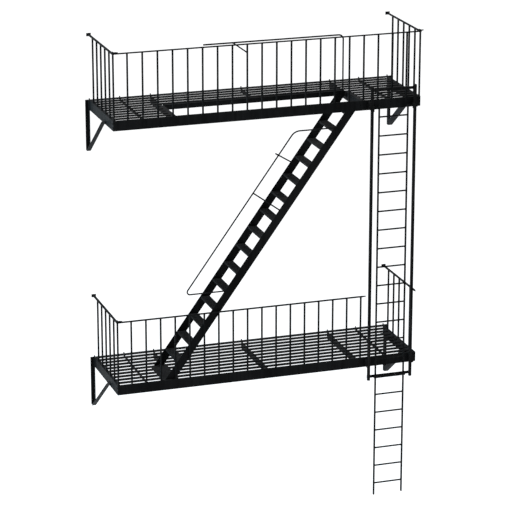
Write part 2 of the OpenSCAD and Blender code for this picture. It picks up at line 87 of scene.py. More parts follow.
LEG_W = 0.052                   # flange of a bracket's leg on the wall
ANGLE_W = 0.060                 # web of the leg and flanges of the brace
ANGLE_T = 0.008
BRACE_REACH = 0.830             # from the wall to where the brace meets the side channel
BRACE_LAP = 0.050               # lap of the brace over the side channel
BOLT_DROP = 0.200               # from the floor down to the upper wall bolt
BOLT_PITCH = 0.320              # between the two wall bolts of a leg

TREAD_COUNT = 15
TREAD_D = 0.130                 # front to back
TREAD_H = 0.025                 # turned-down edges
TREAD_T = 0.005
STRINGER_T = 0.008
CLEAT_T = 0.006                 # angles at the stair's top and feet
HAND_D = 0.020                  # handrail, its ties and the guard's tie
HAND_OFF = 0.470                # from the stringer's upper edge to the handrail
TIE_DROP = 0.960                # from the upper floor down to the handrail's cross tie

CROSS_T = 0.008                 # keeper and crossbars of the guide frame
CLIP_W = 0.030                  # clips of the guide frame
RUNG_COUNT = 21
RUNG_D = 0.023


# ---- sizes in metres of the small parts that only the looks have ----

# radius and rise of the rivet heads
RAILING_RIVET = (0.0065, 0.0030)
STRAP_RIVET = (0.0065, 0.0009)  # nearly flush, to stay inside the CAD's box
CHANNEL_RIVET = (0.0080, 0.0045)
LUG_RIVET = (0.0055, 0.0030)
SLAT_RIVET = (0.0055, 0.0016)
BRACKET_RIVET = (0.0090, 0.0050)
BRACE_RIVET = (0.0080, 0.0045)
TREAD_RIVET = (0.0065, 0.0032)
POST_RIVET = (0.0090, 0.0050)
KEEPER_RIVET = (0.0065, 0.0035)
CLIP_RIVET = (0.0085, 0.0060)
RUNG_END = (0.0065, 0.0015)
RIVET_SIDES, SLAT_RIVET_SIDES = 14, 10
RIVET_RIM = 0.25                # upright share of a rivet's rise
DOME_STEPS = 4                  # rings of a rivet's dome

# where the rivets and nuts sit
STRAP_ZONE = 0.100              # the top rails have no rivets this near a corner with a strap
STRAP_SIDE_STEP = 0.055         # second rivet of a strap, along the side rail
STRAP_FRONT_STEP = 0.044        # third rivet of a strap, along the front rail
CORNER_NEAR, CORNER_FAR = 0.022, 0.052      # rivets from the corner of the channels
JOIST_ROWS = (0.20, 0.50, 0.80)             # shares of the depth, from the top
LIGHT_BAR_ROWS = (0.30, 0.75)
CORNER_ROWS = (0.30, 0.70)
BRACKET_ROWS = (0.30, 0.75)
BRACE_RIVET_STEP = 0.022        # each way from the middle of the lap
TREAD_RIVET_ROWS = (0.27, 0.73)             # shares of the tread's depth
TREAD_RIVET_DROP = 0.55         # share of the turned-down edge
KEEPER_RIVET_IN = 0.011         # from the keeper's upper and lower edges
CLIP_RIVET_REACH = 0.52         # share of half the clip's height
PLATE_NUT_STEP = 0.0235         # each way from the middle of a wall plate
CLEAT_BOLT_IN = 0.036           # from the stringer's inner face
SHOE_BOLT_STEP = 0.027          # each way from the middle of a shoe

# width over the flats of the nuts
PLATE_NUT = 0.0105
WALL_NUT = 0.0220
CLEAT_NUT = 0.0160
SHOE_NUT = 0.0130

# profiles as (radius, height): washer and nut by the nut's corner radius, bolt end by the nut's width;
# washer by its own thickness, nut and bolt end by the nut's height
WASHER = ((1.22, 0.0), (1.22, 0.7), (1.17, 1.0))
NUT = ((1.0, 0.0), (1.0, 0.82), (0.9, 1.0))
BOLT_END = ((0.3, 0.0), (0.3, 0.2), (0.22, 0.32))
WASHER_T = 0.0025
NUT_H = 0.42                    # share of the width over the flats
WASHER_SIDES, NUT_SIDES, BOLT_SIDES = 24, 6, 12

# radius of the weld beads
PLAIN_WELD = 0.0030
RAIL_WELD = 0.0020              # bars under a top rail
FINE_WELD = 0.0022              # ends of the slats, sides of the treads' edges
RUNG_WELD = 0.0024
ROUND_WELD = 0.0028             # round bars on a plane
ANGLE_WELD = 0.0032             # bracket angles and tread plates
SEAT_WELD = 0.0035              # laps, and bars that end on a round bar
GUARD_WELD = 0.0040             # foot of the guard over the stair well
WELD_STEP = 0.0045              # distance from one weld ripple to the next
WELD_RIPPLE = 0.16              # share of the radius
WELD_END = 0.55                 # share of its radius that a bead has at its ends
WELD_SIDES = 6
LINE_SEED, ROUND_SEED = 7, 3    # added to the points so far, which gives each bead its own ripples
SLAT_WELD_SINK = 0.001          # below the slats' top
BRACE_WELD_LIFT = 0.004         # above the brace's foot
CROSSING_WELD = 0.008           # half its length, where the cross tie passes the handrail
SEAT_SINK = 0.35                # share of the bar by which a strut's weld sits below the rail's middle
TIE_SINK = 0.002                # from the guard tie's end to its weld

# chequer pattern of the treads
PATTERN_ROWS, PATTERN_PITCH = 5, 0.0235
LOZENGE_L, LOZENGE_W, LOZENGE_RISE = 0.0200, 0.0062, 0.0011
LOZENGE_TOP = (0.72, 0.60)      # shares of the length and width that its top has

# rounded open end of the guard over the stair well
GUARD_END_RISE = 0.006
GUARD_END_ANGLES = (0, 0.4, 0.8, 1.2)       # radians up the dome
GUARD_END_SIDES = 20


# ---- places taken from the nodes ----

def low(node):
    """Lower corner of a node's box."""
    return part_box(node)[0]


def high(node):
    """Upper corner of a node's box."""
    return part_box(node)[1]


def middle(node):
    return (low(node) + high(node)) / 2


left, right = low("upper_left_channel").x, high("upper_right_channel").x
front = low("upper_front_channel").y
upper_floor = high("upper_front_channel").z
lower_floor = high("lower_front_channel").z
channel_h = upper_floor - low("upper_front_channel").z
bay = (right - left) / FRONT_BAYS
rail_top = high("upper_front_railing").z - upper_floor
joist_x = [left + LIGHT_BAR_INSET, left + WELL_INSET, (left + right) / 2,
           right - WELL_INSET, right - LIGHT_BAR_INSET]
slat_left, slat_right = low("lower_slats").x, high("lower_slats").x
slat_step = (high("lower_slats").y - low("lower_slats").y - SLAT_W) / (SLAT_COUNT - 1)
cut_left, cut_right = high("upper_left_slats").x, low("upper_right_slats").x      # beside the well
tread_low, tread_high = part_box("stair_treads")
going = (tread_high.x - tread_low.x - TREAD_D) / (TREAD_COUNT - 1)
riser = (tread_high.z - tread_low.z - TREAD_H) / (TREAD_COUNT - 1)
slope = math.atan2(riser, going)
slope_normal = Vector((-math.sin(slope), 0, math.cos(slope)))
# where the outer stringer's upper edge meets the lower floor
stringer_foot = Vector((low("outer_stringer").x, middle("outer_stringer").y, lower_floor))


def slat_mid(k):
    """Middle of slat k across the balcony, counted from the wall."""
    return high("lower_slats").y - SLAT_W / 2 - (k - 1) * slat_step


def tread_corner(k):
    """Lower left corner of tread k's top face, counted from 1 at the foot."""
    return Vector((tread_low.x + (k - 1) * going, tread_low.y, tread_low.z + TREAD_H + (k - 1) * riser))


# ---- meshes ----

class Shape:
    """Collects the closed solids of one joined piece."""

    def __init__(self):
        self.points, self.faces, self.smooth = [], [], []

    def add(self, points, faces, smooth):
        """Adds one solid; smooth is one flag for each face."""
        base = len(self.points)
        self.points += [tuple(p) for p in points]
        self.faces += [[base + i for i in face] for face in faces]
        self.smooth += smooth

    def make(self, name, body, slot):
        """Makes the piece, which rides on the body and wears the slot's paint."""
        mesh = bpy.data.meshes.new(name)
        mesh.from_pydata(self.points, [], self.faces)
        mesh.polygons.foreach_set("use_smooth", self.smooth)
        mesh.materials.append(paints[slot])
        mesh.update()
        made = bpy.data.objects.new(name, mesh)
        bpy.context.scene.collection.objects.link(made)
        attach(made, body)


def turned(shape, profile, at, axis, sides, smooth=True, turn=0.0):
    """Solid of revolution: profile is (radius, height) from seat to tip, with radius 0 only at the tip."""
    spin = Vector(axis).to_track_quat("Z", "Y")
    points, faces = [], []
    for radius, height in profile:
        ring = 1 if radius == 0 else sides
        for i in range(ring):
            a = turn + 2 * math.pi * i / sides
            points.append(Vector(at) + spin @ Vector((radius * math.cos(a), radius * math.sin(a), height)))
    rings = len(profile)
    for r in range(rings - 1):
        tip = profile[r + 1][0] == 0
        for i in range(sides):
            j = (i + 1) % sides
            a, b = r * sides + i, r * sides + j
            faces.append([a, b, (r + 1) * sides] if tip else [a, b, b + sides, a + sides])
    flags = [smooth] * len(faces)
    faces.append(list(reversed(range(sides))))
    if profile[-1][0] != 0:
        faces.append([(rings - 1) * sides + i for i in range(sides)])
    shape.add(points, faces, flags + [False] * (len(faces) - len(flags)))


def rivet(shape, at, axis, size, sides=RIVET_SIDES):
    """Domed rivet head with a short upright rim; size is its radius and rise."""
    radius, rise = size
    rim = RIVET_RIM * rise
    dome = []
    for i in range(DOME_STEPS):
        a = 0.5 * math.pi * i / DOME_STEPS
        dome.append((radius * math.cos(a), rim + (rise - rim) * math.sin(a)))
    turned(shape, [(radius, 0)] + dome + [(0, rise)], at, axis, sides)


def hex_bolt(shape, at, axis, across, turn=0.0):
    """Washer, chamfered hexagon nut and the rounded end of the bolt; across is the nut's width."""
    axis = Vector(axis)
    nut_h = NUT_H * across
    corner = across / math.sqrt(3)
    seat = Vector(at) + axis * WASHER_T
    end = seat + axis * nut_h
    turned(shape, [(corner * r, WASHER_T * h) for r, h in WASHER], at, axis, WASHER_SIDES)
    turned(shape, [(corner * r, nut_h * h) for r, h in NUT], seat, axis, NUT_SIDES, False, turn)
    turned(shape, [(across * r, nut_h * h) for r, h in BOLT_END], end, axis, BOLT_SIDES)


def bead(shape, path, normal, radius, closed, seed):
    """Rippled round bead along a path that lies square to the normal."""
    draw = random.Random(seed)
    count = len(path)
    points, faces = [], []
    for i, p in enumerate(path):
        before = path[(i - 1) % count] if closed or i else p
        after = path[(i + 1) % count] if closed or i < count - 1 else p
        along = (after - before).normalized()
        out = along.cross(normal).normalized()
        at_end = not closed and i in (0, count - 1)
        r = radius * (WELD_END if at_end else 1 + WELD_RIPPLE * draw.uniform(-1, 1))
        for k in range(WELD_SIDES):
            a = 2 * math.pi * k / WELD_SIDES
            points.append(p + out * r * math.cos(a) + Vector(normal) * r * math.sin(a))
    for i in range(count if closed else count - 1):
        here, there = i * WELD_SIDES, ((i + 1) % count) * WELD_SIDES
        for k in range(WELD_SIDES):
            following = (k + 1) % WELD_SIDES
            faces.append([here + k, there + k, there + following, here + following])
    flags = [True] * len(faces)
    if not closed:
        last = (count - 1) * WELD_SIDES
        faces += [list(range(WELD_SIDES)), [last + k for k in reversed(range(WELD_SIDES))]]
        flags += [False, False]
    shape.add(points, faces, flags)


def weld(shape, corners, normal, radius=PLAIN_WELD, closed=False):
    """Weld along straight lines through the corners."""
    corners = [Vector(c) for c in corners]
    ends = corners[1:] + corners[:1] if closed else corners[1:]
    path = []
    for a, b in zip(corners, ends):
        n = max(2, round((b - a).length / WELD_STEP))
        path += [a.lerp(b, i / n) for i in range(n)]
    if not closed:
        path.append(corners[-1])
    bead(shape, path, normal, radius, closed, len(shape.points) + LINE_SEED)


def weld_round(shape, on_axis, along, bar_d, plane_at, plane_normal, radius=ROUND_WELD):
    """Weld where a round bar meets a plane."""
    along, plane_normal = Vector(along).normalized(), Vector(plane_normal).normalized()
    u = along.orthogonal().normalized()
    v = along.cross(u)
    count = max(12, round(math.pi * bar_d / WELD_STEP))
    path = []
    for i in range(count):
        a = 2 * math.pi * i / count
        p = Vector(on_axis) + bar_d / 2 * (u * math.cos(a) + v * math.sin(a))
        path.append(p + along * ((Vector(plane_at) - p).dot(plane_normal) / along.dot(plane_normal)))
    bead(shape, path, plane_normal, radius, True, len(shape.points) + ROUND_SEED)


def weld_bar(shape, x, y, z, radius):
    """Weld around a square railing bar that stands on or under a level face."""
    half = BAR_W / 2
    corners = [(x - half, y - half, z), (x + half, y - half, z),
               (x + half, y + half, z), (x - half, y + half, z)]
    weld(shape, corners, Z, radius, True)


def lozenge(shape, at, turn):
    """Raised lozenge of the chequer pattern on a level plate."""
    spin = Matrix.Rotation(turn, 3, "Z")
    ring = [(LOZENGE_L / 2, 0), (0, LOZENGE_W / 2), (-LOZENGE_L / 2, 0), (0, -LOZENGE_W / 2)]
    top_x, top_y = LOZENGE_TOP
    points = [Vector(at) + spin @ Vector((x, y, 0)) for x, y in ring]
    points += [Vector(at) + spin @ Vector((x * top_x, y * top_y, LOZENGE_RISE)) for x, y in ring]
    faces = [[3, 2, 1, 0], [4, 5, 6, 7]] + [[i, (i + 1) % 4, (i + 1) % 4 + 4, i + 4] for i in range(4)]
    shape.add(points, faces, [False] * len(faces))


# ---- paint ----

class Graph:
    """Short way of adding shader nodes to one material."""

    def __init__(self, material):
        material.use_nodes = True
        self.tree = material.node_tree
        self.tree.nodes.clear()

    def node(self, kind, settings=None, **inputs):
        """Adds a node; an input goes by its name, or by its number after the letter i."""
        made = self.tree.nodes.new(kind)
        for key, value in (settings or {}).items():
            setattr(made, key, value)
        for key, value in inputs.items():
            numbered = key[0] == "i" and key[1:].isdigit()
            socket = made.inputs[int(key[1:]) if numbered else key.replace("_", " ")]
            if isinstance(value, bpy.types.NodeSocket):
                self.tree.links.new(value, socket)
            else:
                socket.default_value = value
        return made

    def noise(self, vector, scale, detail, roughness=0.5, stretch=None):
        """Noise from 0 to 1; stretch multiplies the three coordinates before it."""
        if stretch:
            vector = self.node("ShaderNodeMapping", Vector=vector, Scale=stretch).outputs["Vector"]
        return self.node("ShaderNodeTexNoise", Vector=vector, Scale=scale, Detail=detail,
                         Roughness=roughness).outputs["Fac"]

    def band(self, value, start, stop, low_out=0.0, high_out=1.0):
        """Smooth step of a value from start to stop."""
        return self.node("ShaderNodeMapRange", {"interpolation_type": "SMOOTHSTEP"}, Value=value,
                         From_Min=start, From_Max=stop, To_Min=low_out, To_Max=high_out).outputs["Result"]

    def math(self, operation, a, b):
        return self.node("ShaderNodeMath", {"operation": operation}, i0=a, i1=b).outputs[0]

    def plus(self, a, b):
        return self.math("ADD", a, b)

    def most(self, a, b):
        return self.math("MAXIMUM", a, b)

    def times(self, product, *factors):
        for factor in factors:
            product = self.math("MULTIPLY", product, factor)
        return product

    def mix(self, fac, a, b):
        return self.node("ShaderNodeMix", {"data_type": "RGBA"}, i0=fac, i6=a, i7=b).outputs[2]


STEEL = (0.065, 0.063, 0.060, 1)
DUST = (0.022, 0.022, 0.021, 1)
RUST = (0.024, 0.010, 0.005, 1)
DARKEST, LIGHTEST = 0.60, 1.35  # shares of the base colour
EDGE_R = 0.0035                 # how far an edge counts as worn
SMOOTHEST, ROUGHEST = 0.42, 0.62
BARE_METAL = 0.75               # how metallic the bare steel is
SPECULAR = 0.018                # dull old paint
BUMP_STRENGTH, BUMP_HEIGHT = 0.35, 0.0006


def weathered(g, coord, base):
    """Base colour, darker and lighter in broad patches and upright streaks."""
    dark = tuple(c * DARKEST for c in base) + (1,)
    light = tuple(c * LIGHTEST for c in base) + (1,)
    broad = g.noise(coord, scale=1.4, detail=3)
    streaks = g.noise(coord, scale=1.6, detail=4, roughness=0.6, stretch=(14, 14, 0.9))
    tone = g.band(g.plus(g.times(broad, 0.55), g.times(streaks, 0.45)), 0.36, 0.66)
    return g.mix(tone, dark, light)


def bare_steel(g, coord, normal, upward, wear, walked, rubbed):
    """Share of bare steel: chipped edges, scuffed top faces, and rubbed lines along upright bars."""
    rounded = g.node("ShaderNodeBevel", {"samples": 4}, Radius=EDGE_R).outputs["Normal"]
    flatness = g.node("ShaderNodeVectorMath", {"operation": "DOT_PRODUCT"}, i0=rounded, i1=normal)
    edge = g.band(flatness.outputs["Value"], 0.985, 0.80)
    chips = g.band(g.noise(coord, scale=55, detail=4, roughness=0.6), 0.50, 0.62)
    bare = g.times(edge, chips, wear)
    if walked:
        path = g.band(g.noise(coord, scale=3.1, detail=4, roughness=0.55), 0.46, 0.66)
        marks = g.noise(coord, scale=38, detail=5, roughness=0.7, stretch=(1, 3, 1))
        scuffs = g.times(g.band(marks, 0.48, 0.66), walked)
        bare = g.most(bare, g.times(upward, path, scuffs))
    if rubbed:
        scratches = g.noise(coord, scale=2.0, detail=4, roughness=0.6, stretch=(95, 95, 0.8))
        runs = g.band(g.noise(coord, scale=1.7, detail=2, stretch=(4, 4, 0.7)), 0.44, 0.60)
        bare = g.most(bare, g.times(g.band(scratches, 0.54, 0.66), runs, rubbed))
    return bare


def paint(name, base, wear, dust, rust, walked=0.0, rubbed=0.0):
    """Dull black paint on steel: weather streaks, dust on top faces, bare steel, fine rust, brush marks."""
    material = bpy.data.materials.new(name)
    g = Graph(material)
    coord = g.node("ShaderNodeTexCoord").outputs["Object"]
    normal = g.node("ShaderNodeNewGeometry").outputs["Normal"]
    upward = g.band(g.node("ShaderNodeSeparateXYZ", Vector=normal).outputs["Z"], 0.55, 0.95)
    patches = g.band(g.noise(coord, scale=7, detail=6, roughness=0.65), 0.42, 0.72)

    dusty = g.times(upward, patches, dust)
    bare = bare_steel(g, coord, normal, upward, wear, walked, rubbed)
    freckles = g.band(g.noise(coord, scale=8, detail=5, roughness=0.6), 0.56, 0.70)
    specks = g.band(g.noise(coord, scale=95, detail=3), 0.52, 0.60)
    rusty = g.times(freckles, specks, rust)
    colour = g.mix(dusty, weathered(g, coord, base), DUST)
    colour = g.mix(bare, colour, STEEL)
    colour = g.mix(rusty, colour, RUST)

    brush = g.noise(coord, scale=3.0, detail=3, stretch=(70, 70, 9))
    peel = g.noise(coord, scale=420, detail=2, roughness=0.4)
    unevenness = g.plus(g.times(brush, 0.5), g.times(patches, 0.3))
    roughness = g.band(unevenness, 0.15, 0.7, SMOOTHEST, ROUGHEST)
    roughness = g.plus(roughness, g.times(g.most(dusty, rusty), 0.35))
    height = g.plus(g.times(peel, 0.35), g.times(brush, 0.65))
    height = g.math("SUBTRACT", height, g.times(bare, 0.6))
    bump = g.node("ShaderNodeBump", Strength=BUMP_STRENGTH, Distance=BUMP_HEIGHT, Height=height)

    shader = g.node("ShaderNodeBsdfPrincipled", Base_Color=colour, Metallic=g.times(bare, BARE_METAL),
                    Roughness=roughness, Normal=bump.outputs["Normal"], Specular_IOR_Level=SPECULAR)
    g.node("ShaderNodeOutputMaterial", Surface=shader.outputs[0])
    return material


BASES = {m["slot"]: tuple(m["base_color"]) for m in frame["record"]["materials"]}
WEAR = {
    "frame_paint": dict(wear=0.45, dust=0.35, rust=0.30),
    "floor_paint": dict(wear=0.70, dust=0.30, rust=0.25, walked=0.40),
    "railing_paint": dict(wear=0.32, dust=0.20, rust=0.20),
    "stair_paint": dict(wear=0.65, dust=0.25, rust=0.20, walked=0.45),
    "guide_paint": dict(wear=0.50, dust=0.20, rust=0.20, rubbed=0.55),
    "ladder_paint": dict(wear=0.60, dust=0.15, rust=0.20, rubbed=0.25),
}
paints = {slot: paint(slot, BASES[slot], **WEAR[slot]) for slot in BASES}


def dress_frame():
    """Puts each CAD node's paint on it."""
    slot_of = {s["node"]: s["material_slot"] for s in frame["record"]["subparts"]}
    for name, node in frame["nodes"].items():
        if not node.material_slots:
            node.data.materials.append(None)
        for s in node.material_slots:
            s.material = paints[slot_of[name]]


# ---- railings ----

def front_bars(bays):
    """X of the front bars; the bars at the balcony's ends stand in from the corners."""
    places = [left + k * bay for k in range(bays + 1)]
    places[0] = left + RAIL_W / 2
    if bays == FRONT_BAYS:
        places[-1] = right - RAIL_W / 2
    return places


def side_bars():
    """Y of the side bars between the wall and the corner."""
    return [-k * bay for k in range(1, SIDE_BAYS)]


def railing_details(level, floor_z, bays):
    """Welds at both ends of every bar, and rivets on the top rails away from the corner straps."""
    rivets, welds = Shape(), Shape()
    top = floor_z + rail_top
    line_y = front + FLANGE_W / 2
    places = [(x, line_y) for x in front_bars(bays)]
    places += [(x, y) for x in (left + RAIL_W / 2, right - RAIL_W / 2) for y in side_bars()]
    for x, y in places:
        weld_bar(welds, x, y, floor_z, PLAIN_WELD)
        weld_bar(welds, x, y, top - RAIL_T, RAIL_WELD)
        at_left = x < left + STRAP_ZONE
        at_right = x > right - STRAP_ZONE and bays == FRONT_BAYS
        if not (y < front + STRAP_ZONE and (at_left or at_right)):
            rivet(rivets, (x, y, top), Z, RAILING_RIVET)
    welds.make(f"{level}_railing_welds", BODY, "railing_paint")
    rivets.make(f"{level}_railing_rivets", BODY, "railing_paint")


def corner_rivets():
    """Low rivets through the corner straps; the upper right strap has none along the front rail."""
    rivets = Shape()
    for x, side, floor_z in ((left, 1, upper_floor), (right, -1, upper_floor), (left, 1, lower_floor)):
        strap_top = floor_z + rail_top + STRAP_T
        places = [(RAIL_W / 2, RAIL_W / 2), (RAIL_W / 2, STRAP_SIDE_STEP)]
        if side > 0:
            places.append((STRAP_FRONT_STEP, RAIL_W / 2))
        for across, inward in places:
            rivet(rivets, (x + side * across, front + inward, strap_top), Z, STRAP_RIVET)
    rivets.make("corner_strap_rivets", BODY, "railing_paint")


def wall_plate_bolts():
    """Two nuts on each plate that ties a side rail to the wall."""
    bolts = Shape()
    for floor_z in (upper_floor, lower_floor):
        z = floor_z + rail_top - RAIL_T / 2
        for x in (left + RAIL_W / 2, right - RAIL_W / 2):
            for side in (-1, 1):
                hex_bolt(bolts, (x + side * PLATE_NUT_STEP, -PLATE_T, z), -Y, PLATE_NUT, turn=0.3)
    bolts.make("wall_plate_bolts", BODY, "railing_paint")


# ---- balcony frames ----

def channel_rivets(level, floor_z):
    """Rivets through the front channel into the joists, and through the channels' corners."""
    rivets = Shape()
    joist_top = floor_z - SLAT_T
    for x in joist_x:
        if level == "upper" and x == joist_x[2]:
            continue                        # this joist stops at the stair well
        light = x in (joist_x[0], joist_x[-1])
        depth = LIGHT_BAR_H if light else JOIST_H
        for share in LIGHT_BAR_ROWS if light else JOIST_ROWS:
            rivet(rivets, (x, front, joist_top - share * depth), -Y, CHANNEL_RIVET)
    rows = [floor_z - share * channel_h for share in CORNER_ROWS]
    for x in (left + CORNER_NEAR, right - CORNER_NEAR):
        for z in rows:
            rivet(rivets, (x, front, z), -Y, CHANNEL_RIVET)
    for x, axis in ((left, -X), (right, X)):
        for y in (front + CORNER_NEAR, front + CORNER_FAR):
            for z in rows:
                rivet(rivets, (x, y, z), axis, CHANNEL_RIVET)
    rivets.make(f"{level}_channel_rivets", BODY, "frame_paint")


def lug_rivets(level, floor_z):
    """Rivets through the lugs along the wall."""
    rivets = Shape()
    for x in [left + LUG_W / 2] + joist_x + [right - LUG_W / 2]:
        rivet(rivets, (x, -PLATE_T, floor_z + LUG_H / 2), -Y, LUG_RIVET)
    rivets.make(f"{level}_lug_rivets", BODY, "frame_paint")


def slat_rivets(level, floor_z, spans):
    """Low rivets where the slats cross the joists, and welds where they end at the side channels.

    spans are (first slat, last slat, start, end) along the balcony."""
    rivets, welds = Shape(), Shape()
    weld_z = floor_z - SLAT_WELD_SINK
    for first, last, x0, x1 in spans:
        at_side = [x for x in (x0, x1) if min(x - left, right - x) < 2 * SIDE_FLANGE_W]
        for k in range(first, last + 1):
            y = slat_mid(k)
            for x in joist_x:
                if x0 < x < x1:
                    for side in (-1, 1):
                        at = (x, y + side * SLAT_W / 4, floor_z)
                        rivet(rivets, at, Z, SLAT_RIVET, SLAT_RIVET_SIDES)
            for x in at_side:
                weld(welds, [(x, y - SLAT_W / 2, weld_z), (x, y + SLAT_W / 2, weld_z)], Z, FINE_WELD)
    rivets.make(f"{level}_slat_rivets", BODY, "floor_paint")
    welds.make(f"{level}_slat_welds", BODY, "floor_paint")


def bracket_details():
    """Wall nuts, the rivets that hold each bracket to its side channel, and welds."""
    bolts, rivets, welds = Shape(), Shape(), Shape()
    for level, floor_z in (("upper", upper_floor), ("lower", lower_floor)):
        foot_z = low(f"{level}_left_bracket").z
        under = floor_z - channel_h
        tilt = math.atan2(under - foot_z, BRACE_REACH - ANGLE_W)
        brace_top = foot_z + ANGLE_W / math.cos(tilt)
        across = ANGLE_W / math.sin(tilt)
        lap_mid = -BRACE_REACH - BRACE_LAP / 2 / math.tan(tilt) + across / 2
        rivet_y = -(ANGLE_W + ANGLE_T) / 2
        for inner, out in ((left, -1), (right, 1)):
            outer = inner + out * ANGLE_T
            bolt_x = inner + out * (LEG_W + ANGLE_T) / 2
            for i, drop in enumerate((BOLT_DROP, BOLT_DROP + BOLT_PITCH)):
                hex_bolt(bolts, (bolt_x, -ANGLE_T, floor_z - drop), -Y, WALL_NUT, turn=0.5 * i)
            for share in BRACKET_ROWS:
                rivet(rivets, (outer, rivet_y, floor_z - share * channel_h), out * X, BRACKET_RIVET)
            for step in (-BRACE_RIVET_STEP, BRACE_RIVET_STEP):
                rivet(rivets, (outer, lap_mid + step, under + BRACE_LAP / 2), out * X, BRACE_RIVET)
            for x in (inner, outer):
                ends = [(x, -ANGLE_W, foot_z + BRACE_WELD_LIFT), (x, -ANGLE_W, brace_top)]
                weld(welds, ends, X, ANGLE_WELD)
            weld(welds, [(inner, -BRACE_REACH, under), (inner, -BRACE_REACH + across, under)], Z, SEAT_WELD)
    bolts.make("bracket_wall_nuts", BODY, "frame_paint")
    rivets.make("bracket_rivets", BODY, "frame_paint")
    welds.make("bracket_welds", BODY, "frame_paint")


def guard_details():
    """Welds and the rounded open end of the guard over the stair well, and the well header's welds."""
    welds, caps = Shape(), Shape()
    leg_low, leg_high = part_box("well_guard_leg")
    guard_d = leg_high.y - leg_low.y
    foot = Vector((leg_high.x - guard_d / 2, (leg_low.y + leg_high.y) / 2, leg_low.z))
    weld_round(welds, foot, Z, guard_d, foot, Z, GUARD_WELD)
    rail = low("well_guard_rail")
    end = Vector((rail.x, foot.y, rail.z + guard_d / 2))
    dome = [(guard_d / 2 * math.cos(a), GUARD_END_RISE * math.sin(a)) for a in GUARD_END_ANGLES]
    turned(caps, dome + [(0, GUARD_END_RISE)], end, -X, GUARD_END_SIDES)
    tie = middle("well_guard_tie")
    at_bar = (tie.x, front + FLANGE_W / 2 + BAR_W / 2, tie.z)
    at_guard = (tie.x, high("well_guard_tie").y - TIE_SINK, tie.z)
    weld_round(welds, tie, Y, HAND_D, at_bar, Y)
    weld_round(welds, tie, Y, HAND_D, at_guard, Y, SEAT_WELD)
    header_low, header_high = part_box("well_header")
    for x in (header_low.x, header_high.x):
        weld(welds, [(x, header_low.y, header_low.z), (x, header_low.y, header_high.z)], Y)
    welds.make("well_welds", BODY, "railing_paint")
    caps.make("well_guard_end", BODY, "railing_paint")


# ---- stair ----

def tread_pattern(shape, corner, width):
    """Lozenges in rows along one tread, turned by turns to both sides."""
    columns = int(width / PATTERN_PITCH) - 1
    for row in range(PATTERN_ROWS):
        for column in range(columns):
            x = corner.x + TREAD_D / 2 + (row - (PATTERN_ROWS - 1) / 2) * PATTERN_PITCH
            y = corner.y + width / 2 + (column - (columns - 1) / 2) * PATTERN_PITCH
            lozenge(shape, (x, y, corner.z), math.radians(45 if (row + column) % 2 else -45))


def stair_details():
    """Pattern on the treads, rivets through the stringers into them, and the treads' welds."""
    pattern, rivets, welds = Shape(), Shape(), Shape()
    outer, inner = low("outer_stringer").y, high("inner_stringer").y
    for k in range(1, TREAD_COUNT + 1):
        corner = tread_corner(k)
        tread_pattern(pattern, corner, tread_high.y - tread_low.y)
        for y, axis in ((outer, -Y), (inner, Y)):
            for share in TREAD_RIVET_ROWS:
                at = (corner.x + share * TREAD_D, y, corner.z - TREAD_H * TREAD_RIVET_DROP)
                rivet(rivets, at, axis, TREAD_RIVET)
        under = corner.z - TREAD_T
        for y in (tread_low.y, tread_high.y):
            plate = [(corner.x + TREAD_T, y, under), (corner.x + TREAD_D - TREAD_T, y, under)]
            edge = [(corner.x, y, under + TREAD_T), (corner.x, y, corner.z - TREAD_H)]
            weld(welds, plate, Z, ANGLE_WELD)
            weld(welds, edge, X, FINE_WELD)
    pattern.make("tread_pattern", BODY, "stair_paint")
    rivets.make("stair_rivets", BODY, "stair_paint")
    welds.make("tread_welds", BODY, "stair_paint")


def cleat_bolts():
    """One nut on each angle at the stair's feet and top."""
    bolts = Shape()
    foot_low, foot_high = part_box("stair_foot_cleats")
    top_low, top_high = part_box("stair_top_cleats")
    mid_x, mid_z = (foot_low.x + foot_high.x) / 2, (top_low.z + top_high.z) / 2
    outer_y = low("outer_stringer").y + STRINGER_T + CLEAT_BOLT_IN
    inner_y = high("inner_stringer").y - STRINGER_T - CLEAT_BOLT_IN
    for y in (outer_y, inner_y):
        hex_bolt(bolts, (mid_x, y, foot_low.z + CLEAT_T), Z, CLEAT_NUT)
        hex_bolt(bolts, (top_high.x - CLEAT_T, y, mid_z), -X, CLEAT_NUT, turn=0.4)
    bolts.make("cleat_bolts", BODY, "stair_paint")


def handrail_details():
    """Welds of the handrail's arms, strut and cross tie."""
    welds = Shape()
    upper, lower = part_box("handrail_upper_arm"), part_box("handrail_lower_arm")
    hand_y = middle("handrail_run").y
    for z in (upper[1].z - HAND_D / 2, lower[0].z + HAND_D / 2):
        weld_round(welds, Vector((upper[0].x, hand_y, z)), X, HAND_D, stringer_foot, slope_normal)
    strut = middle("handrail_strut")
    rail_seat = stringer_foot + slope_normal * (HAND_OFF - HAND_D * SEAT_SINK)
    weld_round(welds, strut, slope_normal, HAND_D, stringer_foot, slope_normal)
    weld_round(welds, strut, slope_normal, HAND_D, rail_seat, slope_normal, SEAT_WELD)

    # the tie leans from the inner stringer out to the rail, and passes just above it
    inner_y = middle("inner_stringer").y
    across = inner_y - hand_y
    seat = HAND_D * math.hypot(across, HAND_OFF + HAND_D) / across
    rise = HAND_OFF + seat
    run = Vector((slope_normal.x * rise, -across, slope_normal.z * rise)).normalized()
    tie_z = upper_floor - TIE_DROP
    foot = Vector((stringer_foot.x + (tie_z - lower_floor) / math.tan(slope), inner_y, tie_z))
    weld_round(welds, foot, run, HAND_D, foot, slope_normal)
    crossing = foot + run * (across / -run.y)
    slope_run = Vector((math.cos(slope), 0, math.sin(slope)))
    for side in (-1, 1):
        mid = crossing - slope_normal * HAND_D * 0.5 + side * slope_run * HAND_D * 0.5
        weld(welds, [mid - Y * CROSSING_WELD, mid + Y * CROSSING_WELD], slope_normal)
    welds.make("handrail_welds", BODY, "railing_paint")


